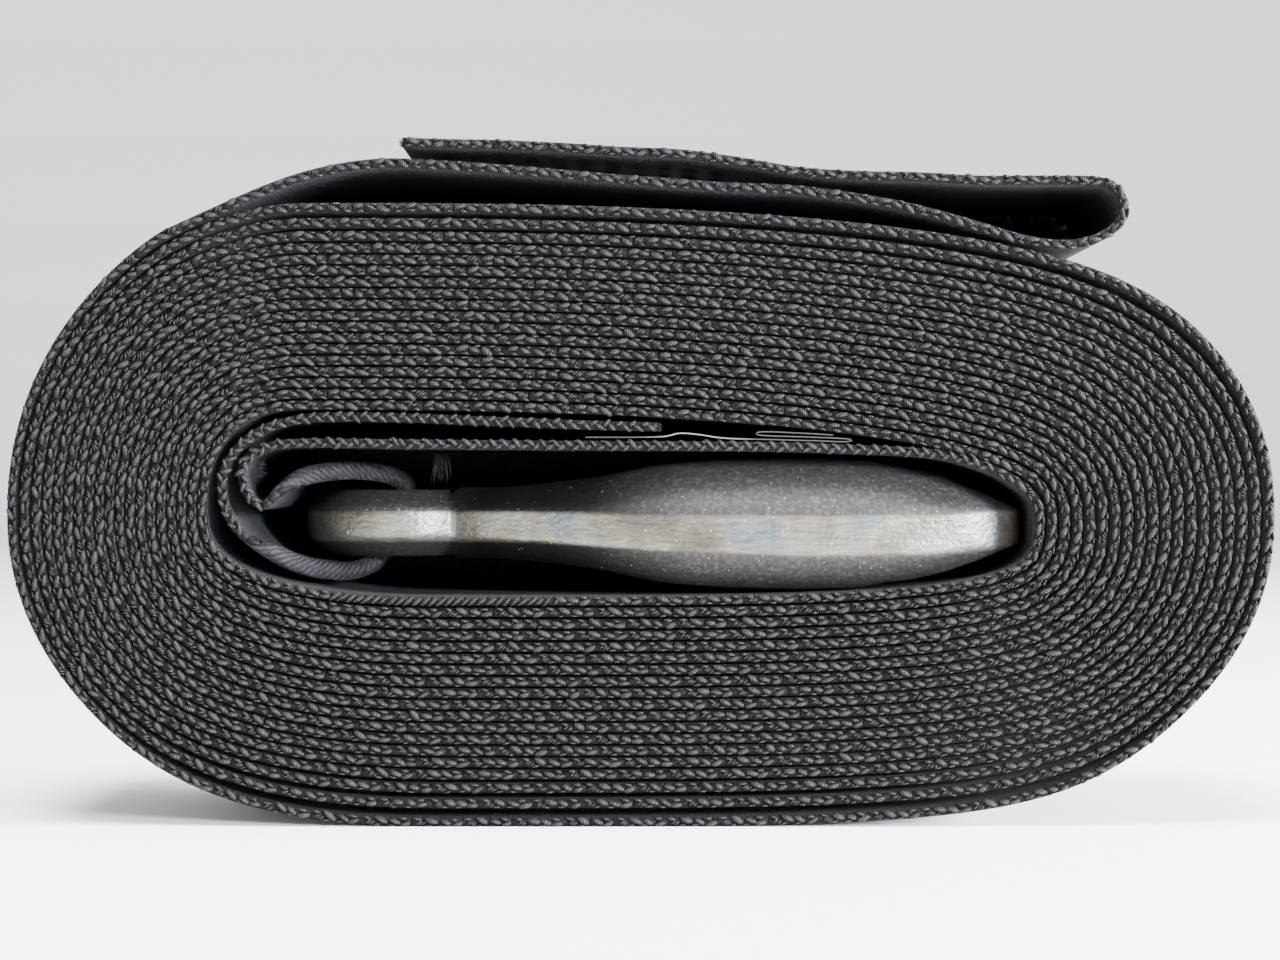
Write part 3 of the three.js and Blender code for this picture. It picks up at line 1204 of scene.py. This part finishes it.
@dataclass(frozen=True)
class WovenCloth(Polyester):
    """Faces of the webbing, woven as a twill: short raised floats in even rows."""

    name: str = "polyester_webbing_woven"
    tones: tuple[str, str, str] = ("#050505", "#1b1b1c", "#303032")
    roughness: float = 0.6
    specular: float = 0.12
    relief: float = 0.28
    row: float = 0.92
    length: float = 1.7
    # Past this distance from the middle the cloth and its cut faces are painted near black,
    # as shade under the edge yarns.
    border: float = 23.9

    def pattern(self, t: NodeTree, uv: Any) -> tuple[Any, Any]:
        """Draws rows of floats, each row set off by half a float.

        Args:
            t: Node tree of the material.
            uv: Place on the flat cloth.

        Returns:
            Height and shade, which goes near black past the border: painted shade in the
            recess under the edge yarns.
        """
        u, v = (t.add("SeparateXYZ", [uv], out) for out in ("X", "Y"))
        across = t.add("Math", [v, self.row], operation="DIVIDE")
        index = t.add("Math", [across], operation="FLOOR")
        offset = t.add("Math", [index, 0.5], operation="MULTIPLY")
        along = t.add("Math", [u, self.length], operation="DIVIDE")
        along = t.add("Math", [along, offset], operation="ADD")
        domes = []
        for place in (across, along):
            part = t.add("Math", [place], operation="FRACT")
            part = t.add("Math", [part, math.pi], operation="MULTIPLY")
            domes.append(t.add("Math", [part], operation="SINE"))
        reach = t.add("Math", [domes[1], 0.55], operation="POWER")
        height = t.add("Math", [domes[0], reach], operation="MULTIPLY")
        # Painted shade: the colour drops to black past the border, where the edge yarns
        # shade the cloth.
        far = t.add("Math", [v], operation="ABSOLUTE")
        inside = t.add("Math", [far, self.border], operation="LESS_THAN")
        tone = t.add("TexNoise", {"Vector": uv, "Scale": 0.6, "Detail": 3.0})
        # Painted shade: the floats' dips are darker and their crests lighter.
        shade = self.shade(t, tone, height)
        return height, t.add("Math", [shade, inside], operation="MULTIPLY")


@dataclass(frozen=True)
class TwistedYarn(Polyester):
    """Edge yarns, thread and fibres: plies twisted together, seen as slanting lines."""

    name: str = "polyester_yarn_twisted"
    tones: tuple[str, str, str] = ("#0c0c0c", "#171718", "#272727")
    roughness: float = 0.5
    specular: float = 0.18
    relief: float = 0.10
    plies: tuple[float, float] = (2.4, 2.0)

    def pattern(self, t: NodeTree, uv: Any) -> tuple[Any, Any]:
        """Draws the plies as waves along and across the yarn.

        Args:
            t: Node tree of the material.
            uv: Place on the yarn.

        Returns:
            Height and shade; each yarn has its own tone.
        """
        u, v = (t.add("SeparateXYZ", [uv], out) for out in ("X", "Y"))
        along = t.add("Math", [u, self.plies[0]], operation="MULTIPLY")
        across = t.add("Math", [v, self.plies[1]], operation="MULTIPLY")
        slope = t.add("Math", [along, across], operation="ADD")
        slope = t.add("Math", [slope, 2 * math.pi], operation="MULTIPLY")
        ply = t.add("Math", [slope], operation="SINE")
        height = t.add("Math", [ply, 0.5, 0.5], operation="MULTIPLY_ADD")
        tone = t.add("Attribute", out="Fac", attribute_name="tone")
        # Painted shade: the plies' grooves are darker and their crests lighter.
        return height, self.shade(t, tone, height)


@dataclass(frozen=True)
class ForgedZinc(Finish):
    """Drop-forged steel with barrel zinc plating.

    The flanks stay dull and speckled from the forging's scale, and carry painted shade
    from the neck to the start of the body. The trimmed rim is smoother, and painted
    brighter, partly as a highlight. Sizes of its patterns are millimetres.
    """

    name: str = "forged_steel_zinc_plated"
    flank: tuple[str, str, str] = ("#2f2f2e", "#3a3a39", "#545351")
    # The rim is painted lighter than the flanks, partly as a highlight.
    rim: tuple[str, str, str] = ("#565148", "#78736a", "#60676b")
    # Painted shade on the flanks, darkest from the neck to the start of the body; places run
    # along X, 100 mm from end to end.
    neck_painted_shade: tuple[tuple[float, str], ...] = (
        (0.05, "#e0e0e0"),
        (0.18, "#c8c8c8"),
        (0.25, "#3c3c3c"),
        (0.42, "#505050"),
        (0.58, "#e8e8e8"),
    )
    clouds: float = 9
    grain: float = 0.7
    pits: float = 1.3
    brush: float = 0.45
    metallic: float = 0.62

    def surface(self, t: NodeTree) -> Any:
        """Lays clouds, grain, brush marks and pits over the zinc.

        Args:
            t: Node tree of the material.

        Returns:
            The shader.
        """
        at = t.add("TexCoord", out="Object")
        tone = t.add("Attribute", out="Fac", attribute_name="tone")
        brushed = t.add("Mapping", {"Vector": at, "Scale": (0.10, 1.0, 1.0)})
        clouds, grain, brush = (
            t.add("TexNoise", {"Vector": v, "Scale": 1 / (size * MM), "Detail": detail})
            for v, size, detail in (
                (at, self.clouds, 3.0),
                (at, self.grain, 6.0),
                (brushed, self.brush, 3.0),
            )
        )
        pits = t.add("TexVoronoi", {"Vector": at, "Scale": 1 / (self.pits * MM)})
        colour, shine = self._colour(t, (at, tone, clouds, grain, brush, pits))

        pit = t.add("ValToRGB", [pits], stops=[(0.0, "#000000"), (0.32, "#ffffff")])
        low = t.add("Math", [pit, 0.35], operation="MULTIPLY")
        height = t.add("Math", [grain, low], operation="ADD")
        height = t.add("Math", [brush, 0.5, height], operation="MULTIPLY_ADD")
        height = t.add("Math", [clouds, 1.2, height], operation="MULTIPLY_ADD")
        lift = {"Height": height, "Distance": 0.16 * MM, "Strength": 0.7}
        rough = t.add("Math", [tone, -0.28, 0.56], operation="MULTIPLY_ADD")
        rough = t.add("Math", [brush, 0.14, rough], operation="MULTIPLY_ADD")
        return t.add(
            "BsdfPrincipled",
            {
                "Base Color": t.add("MixRGB", [shine, colour, linear("#d8d8d4")]),
                "Metallic": self.metallic,
                "Roughness": rough,
                "Normal": t.add("Bump", lift),
            },
        )

    def _colour(self, t: NodeTree, sources: tuple[Any, ...]) -> tuple[Any, Any]:
        """Colours flanks and rim: painted shade on the flanks near the neck, and a lighter
        rim that is partly a painted highlight.

        Args:
            t: Node tree of the material.
            sources: Place, tone, clouds, grain, brush and pits.

        Returns:
            The colour, and how much of the bright specks lies over it.
        """
        at, tone, clouds, grain, brush, pits = sources
        places, edges = (0.3, 0.52, 0.74), (0.34, 0.5, 0.68)
        flank = t.add("ValToRGB", [grain], stops=list(zip(places, self.flank)))
        rim = t.add("ValToRGB", [clouds], stops=list(zip(edges, self.rim)))
        along = t.add("SeparateXYZ", [at], "X")
        place = t.add("Math", [along, 100 * MM], operation="DIVIDE")
        place = t.add("Math", [place, 0.5], operation="ADD")
        # Painted shade: the flanks go dark from the neck to the start of the body.
        marks = t.add("ValToRGB", [place], stops=self.neck_painted_shade)
        flank = t.add("MixRGB", [1.0, flank, marks], blend_type="MULTIPLY")
        stops = [(0.36, "#9a9a9a"), (0.62, "#ffffff")]
        streak = t.add("ValToRGB", [brush], stops=stops)
        rim = t.add("MixRGB", [0.5, rim, streak], blend_type="MULTIPLY")
        stops = [(0.06, "#ffffff"), (0.12, "#000000")]
        speck = t.add("ValToRGB", [pits], stops=stops)
        bright = t.add("Math", [tone, 0.3, 0.25], operation="MULTIPLY_ADD")
        shine = t.add("Math", [speck, bright], operation="MULTIPLY")
        # The rim's lighter colour, which the tone lays over the flanks, is partly a painted
        # highlight.
        return t.add("MixRGB", [tone, flank, rim]), shine


@dataclass(frozen=True)
class VinylFilm(Finish):
    """Calendered vinyl film, slightly wavy and glossy; its colour changes along X, with the
    flat colour from about 5 to 14 mm and the folded colour towards both ends.
    """

    # On the cut edge the flat colour is far lighter than the film: a painted highlight.
    flat: str
    folded: str
    roughness: float
    wave: float = 6

    def surface(self, t: NodeTree) -> Any:
        """Colours the film along its length and makes it wavy.

        Args:
            t: Node tree of the material.

        Returns:
            The shader.
        """
        at = t.add("TexCoord", out="Object")
        along = t.add("SeparateXYZ", [at], "X")
        place = t.add("Math", [along, 40 * MM], operation="DIVIDE")
        colours = (self.folded, self.flat, self.flat, self.folded)
        stops = list(zip((0.0, 0.12, 0.36, 0.44), colours))
        size = 1 / (self.wave * MM)
        wave = t.add("TexNoise", {"Vector": at, "Scale": size, "Detail": 2.0})
        lift = {"Height": wave, "Distance": 0.1 * MM, "Strength": 0.4}
        return t.add(
            "BsdfPrincipled",
            {
                "Base Color": t.add("ValToRGB", [place], stops=stops),
                "Roughness": self.roughness,
                "Coat Weight": 0.3,
                "Normal": t.add("Bump", lift),
            },
        )


VINYL_FACE = VinylFilm("vinyl_film_black", "#141416", "#18181a", 0.25)
# Painted highlight: the cut edge is light only over its middle stretch along X.
VINYL_CUT_HIGHLIGHT = VinylFilm("vinyl_film_cut_edge_painted_highlight", "#5c5c5c", "#1c1c1d", 0.5)


@dataclass(frozen=True)
class StudioPaper(Finish):
    """Pale seamless paper with a faint grain; grains counts them in a metre."""

    name: str = "studio_paper"
    tones: tuple[str, str] = ("#f4f4f4", "#fafafa")
    grains: float = 300.0

    def surface(self, t: NodeTree) -> Any:
        """Gives the paper its grain.

        Args:
            t: Node tree of the material.

        Returns:
            The shader.
        """
        at = t.add("TexCoord", out="Object")
        grain = t.add("TexNoise", {"Vector": at, "Scale": self.grains})
        colour = t.add("ValToRGB", [grain], stops=list(zip((0.3, 0.7), self.tones)))
        return t.add("BsdfPrincipled", {"Base Color": colour, "Roughness": 0.9})


@dataclass(frozen=True)
class PaintedShadeSheet(Finish):
    """A dark stage sheet, open when it is seen from behind.

    Its front is painted shade that closes the view through the openings. Seen from behind it
    isn't there.
    """

    name: str = "painted_shade_sheet"
    tones: tuple[str, str] = ("#1c1c1d", "#262627")
    grains: float = 900.0

    def surface(self, t: NodeTree) -> Any:
        """Gives the dark sheet its grain and opens its back.

        Args:
            t: Node tree of the material.

        Returns:
            The shader.
        """
        at = t.add("TexCoord", out="Object")
        grain = t.add("TexNoise", {"Vector": at, "Scale": self.grains})
        colour = t.add("ValToRGB", [grain], stops=list(zip((0.3, 0.7), self.tones)))
        behind = t.add("NewGeometry", out="Backfacing")
        dark_sheet, clear = t.add("BsdfDiffuse", {"Color": colour}), t.add("BsdfTransparent")
        return t.add("MixShader", [behind, dark_sheet, clear])


# Studio


WINCH_BOW: Points = (
    (31, 96.6), (37.2, 95.2), (47.0, 92.9), (58.3, 89.6), (65.1, 88.8), (70.2, 90.0),
    (73.6, 92.9), (73.1, 96.7), (69.9, 98.4), (51.6, 98.6), (33.4, 99.2),
)


@dataclass(frozen=True)
class Lamp:
    """A soft area lamp aimed at the middle of the roll."""

    name: str
    place: tuple[float, float, float]
    size: float
    power: float
    colour: str = "#ffffff"


LAMPS = (
    Lamp("window_right", (0.8, -0.75, 0.25), 0.22, 52.0, "#edf3ff"),
    Lamp("side_right", (1.1, -0.12, 0.25), 0.4, 130.0, "#f6f9ff"),
    Lamp("top_soft", (-0.1, -0.3, 1.1), 0.5, 46.0),
)


@dataclass(frozen=True)
class Studio:
    """Camera, lamps, world, paper and a dark sheet of painted shade, in metres but for the
    sheet's outlines.
    """

    target: tuple[float, float, float] = (0.0, 0.0, 0.052)
    eye: tuple[float, float, float] = (-0.0001, -0.429, 0.0528)
    lens: float = 74.7
    film: float = 36.0
    clip: tuple[float, float] = (0.01, 20.0)
    world_light: float = 1.3
    paper_half: float = 4.0
    paper_bend: float = 1.5
    # The dark sheet of painted shade behind the openings, and its outlines.
    shade_sheet_at: float = 24.9
    shade_sheet_bore: tuple[float, float] = (0.85, 1.85)
    shade_sheet_lower: tuple[float, float] = (17.82, 18.2)
    shade_sheet_upper: Points = ((-82, 84), (62, 89))

    def camera(self) -> None:
        """Looks level at the front edges, as in the picture."""
        data = bpy.data.cameras.new("view")
        data.lens = self.lens
        data.sensor_width = self.film
        data.clip_start, data.clip_end = self.clip
        thing = link("view", data)
        thing.location = self.eye
        thing.rotation_euler = (math.radians(90), 0, 0)
        bpy.context.scene.camera = thing

    def lamps(self) -> None:
        """Makes all area lamps."""
        for lamp in LAMPS:
            data = bpy.data.lights.new(lamp.name, "AREA")
            data.shape = "DISK"
            data.size = lamp.size
            data.energy = lamp.power
            data.color = linear(lamp.colour)[:3]
            thing = link(lamp.name, data)
            thing.location = lamp.place
            aim = Vector(self.target) - Vector(lamp.place)
            thing.rotation_euler = aim.to_track_quat("-Z", "Y").to_euler()

    def world(self) -> None:
        """Makes even pale light from all round."""
        world = bpy.data.worlds.new("studio")
        world.use_nodes = True
        back = world.node_tree.nodes["Background"]
        back.inputs["Color"].default_value = linear("#ffffff")
        back.inputs["Strength"].default_value = self.world_light
        bpy.context.scene.world = world

    def paper(self) -> bpy.types.Object:
        """Makes a floor that sweeps up into a wall far behind the roll.

        Returns:
            The paper.
        """
        half = self.paper_half
        work = bmesh.new()
        bmesh.ops.create_grid(work, x_segments=1, y_segments=1, size=half)
        far = [e for e in work.edges if all(v.co.y > half - 0.1 for v in e.verts)]
        made = bmesh.ops.extrude_edge_only(work, edges=far)
        moved = [g for g in made["geom"] if isinstance(g, bmesh.types.BMVert)]
        bmesh.ops.translate(work, verts=moved, vec=(0, 0, half))
        bmesh.ops.bevel(
            work,
            geom=far,
            offset=self.paper_bend,
            segments=12,
            profile=0.5,
            affect="EDGES",
            material=-1,
        )
        return self._stage_piece("paper", work, StudioPaper().material())

    def backing(self, turns: Route) -> bpy.types.Object:
        """Makes a dark sheet behind the openings: painted shade that keeps them black.

        Args:
            turns: Middle line of the wound turns.

        Returns:
            The sheet, which faces the camera.
        """
        oval = Oval()
        ends = [turns.nearest(place) for place in self.shade_sheet_upper]
        upper = turns.at(np.linspace(*ends, 60))[0]
        lower = oval.wound(np.linspace(*self.shade_sheet_lower, 60))
        bore = oval.wound(np.linspace(*self.shade_sheet_bore, 120, endpoint=False))
        under_loop = [*lower.tolist(), *upper[::-1].tolist()]
        work = bmesh.new()
        for outline in (bore.tolist(), WINCH_BOW, under_loop):
            places = [(np.array([x, self.shade_sheet_at, z]) + SHIFT) * MM for x, z in outline]
            work.faces.new([work.verts.new(place) for place in places])
        bmesh.ops.triangulate(work, faces=work.faces)
        for face in work.faces:
            face.normal_update()
            if face.normal.y > 0:
                face.normal_flip()
        return self._stage_piece("painted_shade_sheet", work, PaintedShadeSheet().material())

    @staticmethod
    def _stage_piece(
        name: str, work: bmesh.types.BMesh, finish: bpy.types.Material
    ) -> bpy.types.Object:
        """Turns a bmesh into a linked object with its finish.

        Args:
            name: Object name.
            work: The mesh, which is freed.
            finish: Its material.

        Returns:
            The object.
        """
        mesh = bpy.data.meshes.new(name)
        work.to_mesh(mesh)
        work.free()
        mesh.materials.append(finish)
        return link(name, mesh)


def main() -> None:
    """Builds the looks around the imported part."""
    logging.basicConfig(level=logging.INFO)
    studio = Studio()
    studio.camera()
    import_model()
    yarn = TwistedYarn().material()
    builder = WebbingBuilder()
    cloth = builder.strip()
    edges = builder.edges(yarn)
    stitches = Stitching().build(builder.turns, yarn)
    fibres = LooseFibres().build(yarn)
    hook = HookBuilder().build()
    label = LabelBuilder().build()

    for thing in (cloth, *edges, stitches, fibres):
        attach(thing, "root")
    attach(hook, "root")
    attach(label, "root")
    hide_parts("webbing")
    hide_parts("hook")
    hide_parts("label")
    round(builder.length * MM, 3)
    studio.lamps()
    studio.world()
    studio.paper()
    # A dark sheet of painted shade closes the view through the openings.
    studio.backing(builder.turns)
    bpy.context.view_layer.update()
    for thing in (cloth, *edges, stitches, fibres, hook, label):
        tris = sum(len(p.vertices) - 2 for p in thing.data.polygons)
        LOG.info("%s: %d triangles", thing.name, tris)
    LOG.info("strap length %.3f m", builder.length * MM)


if __name__ == "__main__":
    main()
